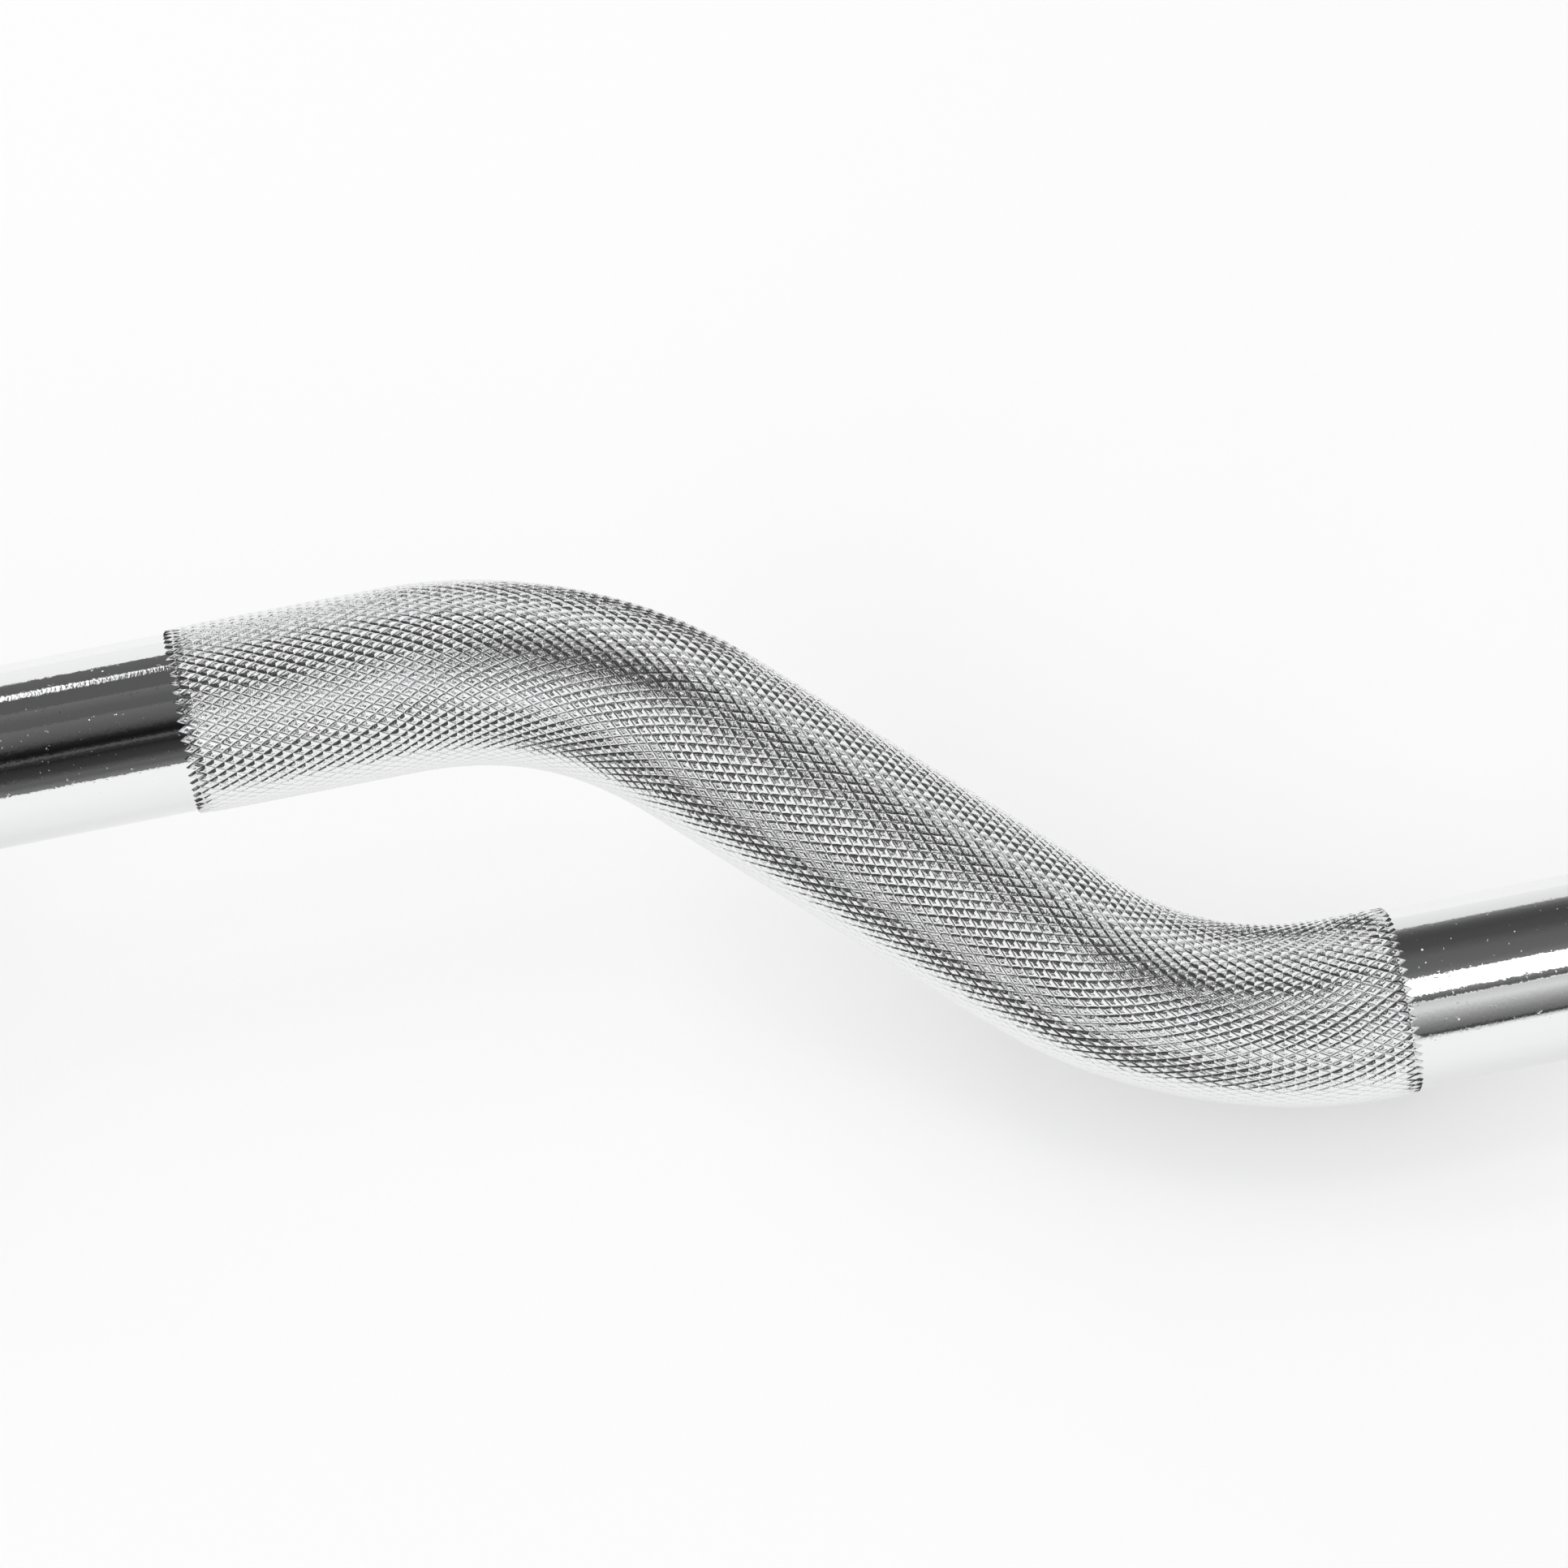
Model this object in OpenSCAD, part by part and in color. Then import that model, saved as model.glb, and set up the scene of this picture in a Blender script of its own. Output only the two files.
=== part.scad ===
// Curl bar: a shaft bent into a shallow W, with a turning sleeve on each end.
// X runs along the bar and Z is up. The bar lies as it does on a floor: on the flanges of its two
// collars and on the two valleys of its shaft. The origin is on the floor, under the middle of the bar.

/* [Shaft] */
// Diameter of the smooth shaft
shaft_d = 25; // [24:0.5:28]
// Distance from the axis of the sleeves to the axis of the shaft's valleys
camber = 72; // [60:1:80]
// Angle that the shaft turns through at each bend
bend_angle = 44; // [40:1:50]
// Distance between the corners of the two middle bends
centre_flat = 120; // [106:2:140]
// Distance between the corners of the two bends of a valley
valley_flat = 94; // [82:2:110]
// Length from the corner of an outer bend to the hand side of the collar
outer_flat = 97; // [70:1:160]
// Radius of the bends that meet the sleeves' axis, on the shaft's centre line
ridge_bend_r = 60; // [40:2:74]
// Radius of the bends of a valley, on the shaft's centre line
valley_bend_r = 52; // [36:2:60]
// How much less the bar's radius is in a bend, where bending draws it thinner
bend_thinning = 0.05; // [0.02:0.01:0.2]

/* [Knurled grips] */
// Height that the knurling stands proud of the smooth shaft
knurl_rise = 0.6; // [0.3:0.1:1]
// Length of the bevel at each end of a knurled grip
knurl_bevel = 0.6; // [0.2:0.1:1.5]
// Length of knurling past the corner of an outer bend, towards the sleeve
knurl_past_outer = 53; // [36:1:72]
// Length of knurling past the corner of a valley bend
knurl_past_valley = 29; // [25:1:38]
// Length of knurling past the corner of a middle bend, towards the middle of the bar
knurl_past_centre = 40; // [34:1:50]

/* [Collar] */
// Diameter of the flange that the plates stop against
collar_d = 78; // [70:1:90]
// Thickness of the flange
flange_t = 12; // [8:0.5:18]
// Diameter of the hub on the hand side of the flange
hub_d = 54; // [51:1:60]
// Length of the hub
hub_len = 8; // [7:0.5:14]
// Radius of the fillet between the hub and the flange
hub_fillet = 3; // [1:0.5:5]
// Radius of the rounded edges of the hub and the flange
flange_edge_r = 1.5; // [0.5:0.5:3]
// Thickness of the web that closes the collar down to the shaft
web_t = 6; // [5.5:0.5:7]
// Radial clearance between the web and the shaft
web_clearance = 0.5; // [0.3:0.1:0.9]
// Width of the bevel of the collar's bore outside the sleeve, at the plate side
bore_bevel = 0.5; // [0.2:0.1:1.5]

/* [Sleeve] */
// Outside diameter of the sleeve
sleeve_d = 50; // [49:0.5:52]
// Length of sleeve that takes plates, from the flange to the sleeve's end
load_length = 190; // [150:5:260]
// Bore of the sleeve
sleeve_bore_d = 34; // [33:0.5:36]
// Diameter of the spigot of the sleeve that is pressed into the collar
spigot_d = 46; // [44:0.5:48]
// Bevel on the outer edge of the sleeve
sleeve_bevel = 1.5; // [0.5:0.5:3]
// Bevel on the inner edge of the sleeve's outer end
mouth_bevel = 0.6; // [0.2:0.1:1.5]

/* [Bushings] */
// Length of a bushing inside the sleeve's bore
bushing_len = 30; // [16:1:50]
// Diameter of a bushing's flange
bushing_flange_d = 40; // [38:0.5:40]
// Thickness of a bushing's flange
bushing_flange_t = 2; // [1:0.5:3]
// Radial running clearance between a bushing and the shaft
running_gap = 0.05; // [0.02:0.01:0.1]

/* [Stop ring and washers] */
// Outside diameter of the stop ring
stop_ring_d = 36; // [34:1:44]
// Length of the stop ring along the shaft
stop_ring_len = 8; // [5:0.5:12]
// Bevel on the outer edges of the stop ring
stop_ring_bevel = 1; // [0.5:0.25:2]
// Outside diameter of the inner thrust washer
inner_washer_d = 34; // [32:1:40]
// Outside diameter of the outer thrust washer
outer_washer_d = 37; // [34:0.5:38]
// Thickness of a thrust washer
washer_t = 2; // [1:0.5:3]
// Play along the shaft on each face of a thrust washer
end_play = 0.15; // [0.05:0.05:0.3]
// Radial clearance of a washer or a seal on the shaft, and of a ring or a flange in its seat
seat_clearance = 0.1; // [0.05:0.05:0.2]

/* [Dust seal] */
// Thickness of the seal's round section
seal_section_d = 2.4; // [1.8:0.2:3]
// Room for the seal along its groove
seal_room = 0.4; // [0.2:0.1:0.6]

/* [Snap rings] */
// Thickness of the ring on the shaft
shaft_ring_t = 1.2; // [1:0.1:1.5]
// Width of the ring on the shaft, opposite its gap
shaft_ring_w = 3.2; // [2.6:0.1:3.8]
// Depth of its groove in the shaft
shaft_groove_depth = 0.55; // [0.4:0.05:0.8]
// Thickness of the ring in the sleeve
cap_ring_t = 1.75; // [1.2:0.05:2.2]
// Width of the ring in the sleeve, opposite its gap
cap_ring_w = 3.8; // [3:0.1:4.5]
// Depth of its groove in the sleeve
cap_groove_depth = 1.25; // [0.8:0.05:1.4]
// Room for a ring across its groove
groove_play = 0.1; // [0.05:0.05:0.2]
// Width of a ring at its gap, as a share of its width opposite the gap
ring_taper = 0.6; // [0.5:0.05:0.8]
// Radius of the lugs at the gap
lug_r = 2.2; // [1.8:0.1:2.5]
// Distance from the edge of the gap to the middle of a lug
lug_inset = 1.8; // [1.5:0.1:2.1]
// Distance from the bore of the ring on the shaft to the middle of its lugs
shaft_lug_height = 1.3; // [1:0.1:1.8]
// Distance from the inner edge of the ring in the sleeve to the middle of its lugs
cap_lug_height = 0.4; // [0.1:0.1:1]
// Diameter of the plier holes in the lugs
plier_hole_d = 2; // [1.5:0.1:2.4]
// Width of the gap between the lugs
ring_gap = 4; // [2:0.5:6]

/* [Shaft ends] */
// Length of shaft past its snap-ring groove
shaft_tip = 3; // [2:0.5:5]
// Bevel on the ends of the shaft
shaft_bevel = 1; // [0.5:0.25:1.5]
// Gap between the end of the shaft and the end cap
cap_gap = 2.5; // [1:0.5:5]

/* [End cap] */
// Diameter of the end cap's seat in the sleeve
cap_d = 42; // [41:0.5:43]
// Thickness of the end cap
cap_t = 5; // [4:0.5:8]
// Bevel on the edges of the cap
cap_bevel = 0.6; // [0.3:0.1:1]
// Diameter of the shallow dish in the cap's face
dish_d = 24; // [16:1:26]
// Depth of the dish
dish_depth = 1; // [0.5:0.25:2]
// Length of sleeve past the groove of the cap's snap ring
lip_len = 4; // [2:0.5:8]

/* [Hidden] */

$fn = 96;
SEAL_FACETS = 32;
LEFT = -1;
RIGHT = 1;
CHROME = [0.78, 0.79, 0.81];
STEEL = [0.55, 0.56, 0.58];
BRONZE = [0.72, 0.52, 0.28];
NYLON = [0.12, 0.12, 0.13];

// Radii of the shaft, and how it leans when it lies on a floor
shaft_r = shaft_d / 2;
grip_r = shaft_r + knurl_rise;
collar_r = collar_d / 2;
dip = asin((collar_r - grip_r) / camber);
axis_z = collar_r;
axis_y = (camber * cos(dip) + grip_r - collar_r) / 2;

// Places along a sleeve's axis, outwards from the hand side of its collar
collar_len = hub_len + flange_t;
sleeve_end = collar_len + load_length;
cap_groove_end = sleeve_end - lip_len;
cap_groove_start = cap_groove_end - cap_ring_t - groove_play;
cap_end = cap_groove_start - groove_play;
cap_start = cap_end - cap_t;
shaft_end = cap_start - cap_gap;
shaft_groove_end = shaft_end - shaft_tip;
shaft_groove_start = shaft_groove_end - shaft_ring_t - groove_play;
outer_washer_end = shaft_groove_start;
outer_washer_start = outer_washer_end - washer_t;
outer_flange_end = outer_washer_start - end_play;
outer_seat = outer_flange_end - bushing_flange_t;
inner_seat = web_t + bushing_flange_t;
inner_washer_end = -end_play;
inner_washer_start = inner_washer_end - washer_t;
stop_ring_end = inner_washer_start - end_play;
stop_ring_start = stop_ring_end - stop_ring_len;

// Radii about a sleeve's axis
sleeve_r = sleeve_d / 2;
sleeve_bore_r = sleeve_bore_d / 2;
spigot_r = spigot_d / 2;
hub_r = hub_d / 2;
bushing_bore_r = shaft_r + running_gap;
washer_bore_r = shaft_r + seat_clearance;
web_bore_r = shaft_r + web_clearance;
bushing_flange_r = bushing_flange_d / 2;
flange_room_r = bushing_flange_r + seat_clearance;
seal_r = washer_bore_r + seal_section_d / 2;
seal_groove_r = seal_r + seal_section_d / 2 + seat_clearance;
seal_groove_w = seal_section_d + seal_room;
shaft_groove_r = shaft_r - shaft_groove_depth;
cap_seat_r = cap_d / 2;
cap_r = cap_seat_r - seat_clearance;
cap_groove_r = cap_seat_r + cap_groove_depth;
mouth_r = cap_seat_r + mouth_bevel;
collar_mouth_r = sleeve_r + bore_bevel;

// The shaft from the middle of the bar outwards. A straight stretch is its length, the radii of its
// two ends, and how far each end laps into a bend. A bend is its radius and the angle that it turns
// through, positive towards the axis.
ridge_tangent = ridge_bend_r * tan(bend_angle / 2);
valley_tangent = valley_bend_r * tan(bend_angle / 2);
slant_len = camber / sin(bend_angle) - ridge_tangent - valley_tangent;
slant_run = camber / tan(bend_angle);
bend_lap = 0.2;
half_span = centre_flat / 2 + slant_run + valley_flat + slant_run + outer_flat;
HALF_SHAFT = [
    [centre_flat / 2 - knurl_past_centre - knurl_bevel, shaft_r, shaft_r, 0, 0],
    [knurl_bevel, shaft_r, grip_r, 0, 0],
    [knurl_past_centre - ridge_tangent, grip_r, grip_r, 0, bend_lap],
    [ridge_bend_r, -bend_angle],
    [slant_len, grip_r, grip_r, bend_lap, bend_lap],
    [valley_bend_r, bend_angle],
    [knurl_past_valley - valley_tangent, grip_r, grip_r, bend_lap, 0],
    [knurl_bevel, grip_r, shaft_r, 0, 0],
    [valley_flat - 2 * (knurl_past_valley + knurl_bevel), shaft_r, shaft_r, 0, 0],
    [knurl_bevel, shaft_r, grip_r, 0, 0],
    [knurl_past_valley - valley_tangent, grip_r, grip_r, 0, bend_lap],
    [valley_bend_r, bend_angle],
    [slant_len, grip_r, grip_r, bend_lap, bend_lap],
    [ridge_bend_r, -bend_angle],
    [knurl_past_outer - ridge_tangent, grip_r, grip_r, bend_lap, 0],
    [knurl_bevel, grip_r, shaft_r, 0, 0],
    [outer_flat - knurl_past_outer - knurl_bevel + shaft_groove_start, shaft_r, shaft_r, 0, 0],
    [shaft_groove_end - shaft_groove_start, shaft_groove_r, shaft_groove_r, 0, 0],
    [shaft_tip - shaft_bevel, shaft_r, shaft_r, 0, 0],
    [shaft_bevel, shaft_r, shaft_r - shaft_bevel, 0, 0]
];

// Points of an arc about [r, z], from angle a0 to a1
function arc(r, z, radius, a0, a1, steps = 6) =
    [for (i = [0:steps]) let (a = a0 + (a1 - a0) * i / steps) [r + radius * cos(a), z + radius * sin(a)]];

// A straight stretch of the shaft along +X, with what follows carried on its end
module straight(length, start_r, end_r, start_lap, end_lap) {
    translate([-start_lap, 0, 0]) rotate([0, 90, 0])
        cylinder(h = start_lap + length + end_lap, r1 = start_r, r2 = end_r);
    translate([length, 0, 0]) children();
}

// A knurled bend, with what follows carried on its end
module bend(radius, angle) {
    side = sign(angle);
    start_angle = side > 0 ? -90 : 90 + angle;
    translate([0, side * radius, 0]) {
        rotate([0, 0, start_angle])
            rotate_extrude(angle = abs(angle)) translate([radius, 0]) circle(grip_r - bend_thinning);
        rotate([0, 0, angle]) translate([0, -side * radius, 0]) children();
    }
}

// The stretches of a path one after another, each on the end of the one before
module follow(path, i = 0) {
    if (i < len(path)) {
        stretch = path[i];
        if (len(stretch) == 2) bend(stretch[0], stretch[1]) follow(path, i + 1);
        else straight(stretch[0], stretch[1], stretch[2], stretch[3], stretch[4]) follow(path, i + 1);
    }
}

// Puts a piece on the axis of a sleeve, with +Z outwards from the hand side of its collar
module on_axis(side) {
    translate([side * half_span, axis_y, axis_z]) rotate([0, side * 90, 0]) children();
}

// A plain ring about the axis, between two radii and two places along it
module ring(inner_r, outer_r, from, to) {
    rotate_extrude() translate([inner_r, from]) square([outer_r - inner_r, to - from]);
}

// The two lugs of a snap ring, at radius r on each side of its gap
module lugs(r) {
    for (side = [LEFT, RIGHT]) translate([side * (ring_gap / 2 + lug_inset), r]) children();
}

// A snap ring for a shaft: it narrows towards its gap, and its lugs stand outwards
module outside_snap_ring(inner_r, width, thickness) {
    narrowing = width * (1 - ring_taper) / 2;
    outer_r = inner_r + width - narrowing;
    lug_place = inner_r + shaft_lug_height;
    linear_extrude(thickness) difference() {
        union() {
            translate([0, -narrowing]) circle(outer_r);
            lugs(lug_place) circle(lug_r);
        }
        circle(inner_r);
        translate([-ring_gap / 2, 0]) square([ring_gap, inner_r + width + 2 * lug_r]);
        lugs(lug_place) circle(d = plier_hole_d);
    }
}

// A snap ring for a bore: it narrows towards its gap, and its lugs stand inwards
module inside_snap_ring(outer_r, width, thickness) {
    narrowing = width * (1 - ring_taper) / 2;
    inner_r = outer_r - width + narrowing;
    lug_place = outer_r - width - cap_lug_height;
    linear_extrude(thickness) difference() {
        union() {
            difference() {
                circle(outer_r);
                translate([0, narrowing]) circle(inner_r);
            }
            lugs(lug_place) circle(lug_r);
        }
        translate([-ring_gap / 2, 0]) square([ring_gap, outer_r + lug_r]);
        lugs(lug_place) circle(d = plier_hole_d);
    }
}

module shaft() {
    color(CHROME) translate([0, axis_y, axis_z]) rotate([dip, 0, 0]) {
        follow(HALF_SHAFT);
        mirror([1, 0, 0]) follow(HALF_SHAFT);
    }
}

module stop_ring(side) {
    color(CHROME) on_axis(side) rotate_extrude() polygon([
        [shaft_r, stop_ring_start],
        [stop_ring_d / 2 - stop_ring_bevel, stop_ring_start],
        [stop_ring_d / 2, stop_ring_start + stop_ring_bevel],
        [stop_ring_d / 2, stop_ring_end - stop_ring_bevel],
        [stop_ring_d / 2 - stop_ring_bevel, stop_ring_end],
        [shaft_r, stop_ring_end]
    ]);
}

module inner_thrust_washer(side) {
    color(NYLON) on_axis(side)
        ring(washer_bore_r, inner_washer_d / 2, inner_washer_start, inner_washer_end);
}

// The hub and flange, with the seal's groove in the web and the sleeve's seat behind it
module collar(side) {
    edge = flange_edge_r;
    seal_mid = web_t / 2;
    color(CHROME) on_axis(side) rotate_extrude() polygon(concat(
        [[web_bore_r, 0]],
        arc(hub_r - edge, edge, edge, -90, 0),
        arc(hub_r + hub_fillet, hub_len - hub_fillet, hub_fillet, 180, 90),
        arc(collar_r - edge, hub_len + edge, edge, -90, 0),
        arc(collar_r - edge, collar_len - edge, edge, 0, 90),
        [
            [collar_mouth_r, collar_len],
            [spigot_r, collar_len - (collar_mouth_r - spigot_r)],
            [spigot_r, web_t],
            [web_bore_r, web_t],
            [web_bore_r, seal_mid + seal_groove_w / 2],
            [seal_groove_r, seal_mid + seal_groove_w / 2],
            [seal_groove_r, seal_mid - seal_groove_w / 2],
            [web_bore_r, seal_mid - seal_groove_w / 2]
        ]
    ));
}

module dust_seal(side) {
    color(NYLON) on_axis(side)
        rotate_extrude() translate([seal_r, web_t / 2]) circle(d = seal_section_d, $fn = SEAL_FACETS);
}

// The tube, with a spigot for the collar and, from its two ends, the seats of the bushings and the cap
module sleeve(side) {
    color(CHROME) on_axis(side) rotate_extrude() polygon([
        [flange_room_r, web_t],
        [spigot_r, web_t],
        [spigot_r, collar_len],
        [sleeve_r, collar_len],
        [sleeve_r, sleeve_end - sleeve_bevel],
        [sleeve_r - sleeve_bevel, sleeve_end],
        [mouth_r, sleeve_end],
        [cap_seat_r, sleeve_end - mouth_bevel],
        [cap_seat_r, cap_groove_end],
        [cap_groove_r, cap_groove_end],
        [cap_groove_r, cap_groove_start],
        [cap_seat_r, cap_groove_start],
        [cap_seat_r, cap_start],
        [flange_room_r, cap_start],
        [flange_room_r, outer_seat],
        [sleeve_bore_r, outer_seat],
        [sleeve_bore_r, inner_seat],
        [flange_room_r, inner_seat]
    ]);
}

module inner_bushing(side) {
    color(BRONZE) on_axis(side) {
        ring(bushing_bore_r, bushing_flange_r, web_t, inner_seat);
        ring(bushing_bore_r, sleeve_bore_r, inner_seat, inner_seat + bushing_len);
    }
}

module outer_bushing(side) {
    color(BRONZE) on_axis(side) {
        ring(bushing_bore_r, sleeve_bore_r, outer_seat - bushing_len, outer_seat);
        ring(bushing_bore_r, bushing_flange_r, outer_seat, outer_flange_end);
    }
}

module outer_thrust_washer(side) {
    color(STEEL) on_axis(side)
        ring(washer_bore_r, outer_washer_d / 2, outer_washer_start, outer_washer_end);
}

module shaft_snap_ring(side) {
    color(STEEL) on_axis(side) translate([0, 0, shaft_groove_start + groove_play / 2])
        outside_snap_ring(shaft_groove_r + seat_clearance, shaft_ring_w, shaft_ring_t);
}

module end_cap(side) {
    color(CHROME) on_axis(side) rotate_extrude() polygon([
        [0, cap_start],
        [cap_r - cap_bevel, cap_start],
        [cap_r, cap_start + cap_bevel],
        [cap_r, cap_end - cap_bevel],
        [cap_r - cap_bevel, cap_end],
        [dish_d / 2, cap_end],
        [dish_d / 2 - dish_depth, cap_end - dish_depth],
        [0, cap_end - dish_depth]
    ]);
}

module cap_snap_ring(side) {
    color(STEEL) on_axis(side) translate([0, 0, cap_groove_start + groove_play / 2])
        inside_snap_ring(cap_groove_r - seat_clearance, cap_ring_w, cap_ring_t);
}

shaft();
stop_ring(LEFT);  // left_stop_ring
inner_thrust_washer(LEFT);  // left_inner_thrust_washer
collar(LEFT);  // left_collar
dust_seal(LEFT);  // left_dust_seal
sleeve(LEFT);  // left_sleeve
inner_bushing(LEFT);  // left_inner_bushing
outer_bushing(LEFT);  // left_outer_bushing
outer_thrust_washer(LEFT);  // left_outer_thrust_washer
shaft_snap_ring(LEFT);  // left_shaft_snap_ring
end_cap(LEFT);  // left_end_cap
cap_snap_ring(LEFT);  // left_cap_snap_ring
stop_ring(RIGHT);  // right_stop_ring
inner_thrust_washer(RIGHT);  // right_inner_thrust_washer
collar(RIGHT);  // right_collar
dust_seal(RIGHT);  // right_dust_seal
sleeve(RIGHT);  // right_sleeve
inner_bushing(RIGHT);  // right_inner_bushing
outer_bushing(RIGHT);  // right_outer_bushing
outer_thrust_washer(RIGHT);  // right_outer_thrust_washer
shaft_snap_ring(RIGHT);  // right_shaft_snap_ring
end_cap(RIGHT);  // right_end_cap
cap_snap_ring(RIGHT);  // right_cap_snap_ring
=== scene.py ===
"""Looks of the curl bar: a chrome bar bent into a shallow W, with four diamond-knurled hand grips
and a turning sleeve on each end. All lengths here are in metres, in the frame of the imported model.
"""

import math

import bpy
import numpy as np
from mathutils import Matrix, Vector


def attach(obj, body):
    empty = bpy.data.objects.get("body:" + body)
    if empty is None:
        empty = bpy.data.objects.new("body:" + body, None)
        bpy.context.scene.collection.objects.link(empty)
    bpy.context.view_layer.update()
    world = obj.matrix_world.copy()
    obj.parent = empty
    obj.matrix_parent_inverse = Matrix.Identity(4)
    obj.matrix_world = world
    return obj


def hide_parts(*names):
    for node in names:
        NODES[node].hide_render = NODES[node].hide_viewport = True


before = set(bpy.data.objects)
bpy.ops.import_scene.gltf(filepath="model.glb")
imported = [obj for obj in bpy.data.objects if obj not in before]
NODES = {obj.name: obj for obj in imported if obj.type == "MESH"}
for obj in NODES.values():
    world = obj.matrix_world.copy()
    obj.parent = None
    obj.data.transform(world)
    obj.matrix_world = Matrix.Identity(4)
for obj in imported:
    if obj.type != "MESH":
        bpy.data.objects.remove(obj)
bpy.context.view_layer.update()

MM = 0.001

# The shaft's centre line, as the solids have it: the bends, the flats between their corners, and
# the slack for a point that lies where two of its pieces meet
SHAFT_R = 12.5 * MM
GRIP_R = 13.1 * MM
CAMBER = 72 * MM
BEND = math.radians(44)
RIDGE_R = 60 * MM
VALLEY_R = 52 * MM
CENTRE_FLAT = 120 * MM
VALLEY_FLAT = 94 * MM
OUTER_FLAT = 97 * MM
ON_MARK = 1e-12

# The bar rests on its collars and its valleys, so its plane dips towards the front
COLLAR_R = 39 * MM
DIP = math.asin((COLLAR_R - GRIP_R) / CAMBER)
AXIS_Y = (CAMBER * math.cos(DIP) + GRIP_R - COLLAR_R) / 2
AXIS_Z = COLLAR_R

# The shaft's outer end, from the hand side of the collar
GROOVE_START = 192.25 * MM
GROOVE_END = 193.55 * MM
GROOVE_R = SHAFT_R - 0.55 * MM
SHAFT_END = 196.55 * MM
END_BEVEL = 1 * MM

# Cold bending draws the bar in on the outside of a valley and on the inside of every bend
VALLEY_OUTER_LOSS = 1.2 * MM
VALLEY_INNER_LOSS = 0.35 * MM
RIDGE_INNER_LOSS = 0.55 * MM
LOSS_RUN_OUT = 7 * MM

# The smooth shaft's mesh: its sides, the step between its rings in a bend, and its sharp edges
BAR_SIDES = 160
BEND_STEP = 0.6 * MM
SHARP_ANGLE = math.radians(30)

# How far the knurling reaches past the corners of the bends
PAST_CENTRE = 40 * MM
PAST_VALLEY = 29 * MM
PAST_OUTER = 53.9 * MM

# Knurling: two crossing sets of grooves, each with this many starts round the bar, leave rows of
# points. At each end of a grip the skin is sunk into the bar, and the last two rows of points are
# formed only to a share of their height
STARTS = 58
ROW = 1.3475 * MM
TIP_R = 13.1 * MM
GROOVE_FLOOR_R = 12.829 * MM
SUNK_R = 12.4 * MM
FORMED_AT_END = (0.4, 0.8)

# A point's shoulder and rim, as shares of its cell, and the dent in its top
SHOULDER = 0.69
SHOULDER_RISE = 0.56
RIM = 0.34
DENT = 0.05 * MM
LEAST_DENT = 0.4

# Chance in the knurling: heights, and places as shares of a shoulder's or a rim's size
KNURL_WANDER = 0.010 * MM
KNURL_LIFT = 0.25 * KNURL_WANDER
SHOULDER_JITTER = 0.01
RIM_JITTER = 0.03
DENT_JITTER = 0.08
INNER_SEED = 10
OUTER_SEED = 20

# The corners of a cell, in order round it, as steps along the bar and round it
AROUND_CELL = ((-1, 0.0), (0, -0.5), (1, 0.0), (0, 0.5))

# A grip's sets of points, in order: corners, four of shoulders, four of rims, dents, and the
# lining, which is its skin inside the bar
SHOULDER_SET = 1
RIM_SET = 5
DENT_SET = 9
LINING_SET = 10
LINING_R = 12.2 * MM
ROWS_PER_LINING_ROW = 3


class Path:
    """The centre line of half the shaft, from the middle of the bar outwards, in its own plane."""

    def __init__(self):
        self.ridge_tangent = RIDGE_R * math.tan(BEND / 2)
        self.valley_tangent = VALLEY_R * math.tan(BEND / 2)
        slant = CAMBER / math.sin(BEND) - self.ridge_tangent - self.valley_tangent
        self.pieces = [
            ("straight", CENTRE_FLAT / 2 - self.ridge_tangent),
            ("bend", RIDGE_R, -1),
            ("straight", slant),
            ("bend", VALLEY_R, 1),
            ("straight", VALLEY_FLAT - 2 * self.valley_tangent),
            ("bend", VALLEY_R, 1),
            ("straight", slant),
            ("bend", RIDGE_R, -1),
            ("straight", OUTER_FLAT - self.ridge_tangent + SHAFT_END),
        ]
        self.marks = [0.0]
        self.bends = []
        for kind, size, *turn in self.pieces:
            length = size if kind == "straight" else size * BEND
            if kind == "bend":
                self.bends.append((self.marks[-1], length, *turn))
            self.marks.append(self.marks[-1] + length)
        self.length = self.marks[-1]

    def at(self, s):
        """Places (u, v) and headings of the points at distances s along the line."""
        s = np.asarray(s, float)
        place = np.zeros(s.shape + (2,))
        heading = np.zeros(s.shape)
        start = np.zeros(2)
        angle = 0.0
        for i, piece in enumerate(self.pieces):
            last = i == len(self.pieces) - 1
            here = (s >= self.marks[i] - ON_MARK) & ((s < self.marks[i + 1]) | last)
            along = s[here] - self.marks[i]
            ahead = np.array([math.cos(angle), math.sin(angle)])
            left = np.array([-ahead[1], ahead[0]])
            if piece[0] == "straight":
                place[here] = start + along[:, None] * ahead
                heading[here] = angle
                start = start + piece[1] * ahead
            else:
                _, radius, turn = piece
                swept = along / radius
                place[here] = (
                    start
                    + radius * np.sin(swept)[:, None] * ahead
                    + turn * radius * (1 - np.cos(swept))[:, None] * left
                )
                heading[here] = angle + turn * swept
                start = (
                    start
                    + radius * math.sin(BEND) * ahead
                    + turn * radius * (1 - math.cos(BEND)) * left
                )
                angle += turn * BEND
        return place, heading

    def loss(self, s, upper):
        """How far the bar's upper or lower edge is drawn in by the bends, at distances s."""
        s, upper = np.broadcast_arrays(np.asarray(s, float), upper)
        total = np.zeros(s.shape)
        for start, length, turn in self.bends:
            inner = upper == (turn > 0)
            if turn > 0:
                amount = np.where(inner, VALLEY_INNER_LOSS, VALLEY_OUTER_LOSS)
            else:
                amount = np.where(inner, RIDGE_INNER_LOSS, 0.0)
            reach = length / 2 + np.where(inner, 0.0, LOSS_RUN_OUT)
            x = np.clip((s - start - length / 2) / reach, -1, 1)
            total += amount * (1 - x * x) ** 2
        return total


PATH = Path()


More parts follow.
